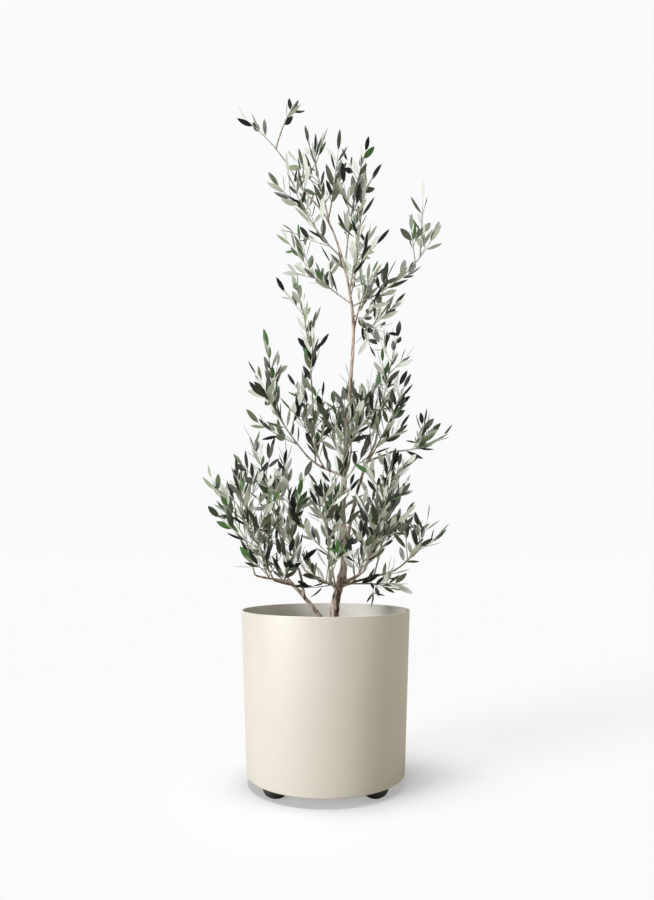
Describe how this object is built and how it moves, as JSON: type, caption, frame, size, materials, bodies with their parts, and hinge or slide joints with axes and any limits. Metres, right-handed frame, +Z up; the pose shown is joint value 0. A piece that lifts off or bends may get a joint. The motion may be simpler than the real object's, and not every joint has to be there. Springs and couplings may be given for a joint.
{
  "type": "potted olive tree",
  "caption": "Young multi-stem olive tree with a slim open crown of narrow grey-green leaves, growing in a round tapered cream planter on low rubber feet.",
  "frame": {"origin": "on the ground, on the axis of the planter, level with the undersides of its feet", "axes": "+Z up along the planter's axis and the tree's height, -Y towards the front, +X to the right seen from the front"},
  "size_m": [0.6055, 0.5517, 1.6569],
  "materials": {
    "cream_coat": "matte",
    "potting_soil": "matte",
    "foot_rubber": "matte",
    "bark": "matte",
    "olive_foliage": "satin"
  },
  "bodies": {
    "root": {"planter": "cream_coat", "soil": "potting_soil", "foot_1": "foot_rubber", "foot_2": "foot_rubber", "foot_3": "foot_rubber", "foot_4": "foot_rubber", "trunk": "bark", "stem_left": "bark", "bough_left_inner": "bark", "bough_left_low": "bark", "bough_left_front": "bark", "bough_right_low": "bark", "bough_right_inner": "bark", "stem_right": "bark", "bough_back_low": "bark", "bough_back_right": "bark", "bough_front_low": "bark", "bough_front_right": "bark", "bough_back_left": "bark", "bough_left_high": "bark", "bough_right_high": "bark", "bough_back_high": "bark", "leaves_leader": "olive_foliage", "leaves_top": "olive_foliage", "leaves_top_right": "olive_foliage", "leaves_upper_left": "olive_foliage", "leaves_upper_left_low": "olive_foliage", "leaves_upper_right": "olive_foliage", "leaves_upper_front": "olive_foliage", "leaves_upper_back": "olive_foliage", "leaves_right_droop": "olive_foliage", "leaves_left_spire": "olive_foliage", "leaves_left_wing": "olive_foliage", "leaves_left_upper": "olive_foliage", "leaves_middle_left": "olive_foliage", "leaves_middle": "olive_foliage", "leaves_middle_back": "olive_foliage", "leaves_middle_right": "olive_foliage", "leaves_right_spire": "olive_foliage", "leaves_right_wing": "olive_foliage", "leaves_right_hook": "olive_foliage", "leaves_right_inner": "olive_foliage", "leaves_right_outer": "olive_foliage", "leaves_right_middle": "olive_foliage", "leaves_right_foot": "olive_foliage", "leaves_front_right": "olive_foliage", "leaves_front": "olive_foliage", "leaves_back_right": "olive_foliage", "leaves_back": "olive_foliage", "leaves_back_left": "olive_foliage", "leaves_left_inner": "olive_foliage", "leaves_left_middle": "olive_foliage", "leaves_left_front": "olive_foliage", "leaves_left_outer": "olive_foliage", "leaves_left_low": "olive_foliage", "leaves_left_foot": "olive_foliage", "leaves_right_low": "olive_foliage", "leaves_front_low": "olive_foliage", "leaves_front_middle": "olive_foliage", "leaves_upper_inner": "olive_foliage"}
  },
  "joints": []
}
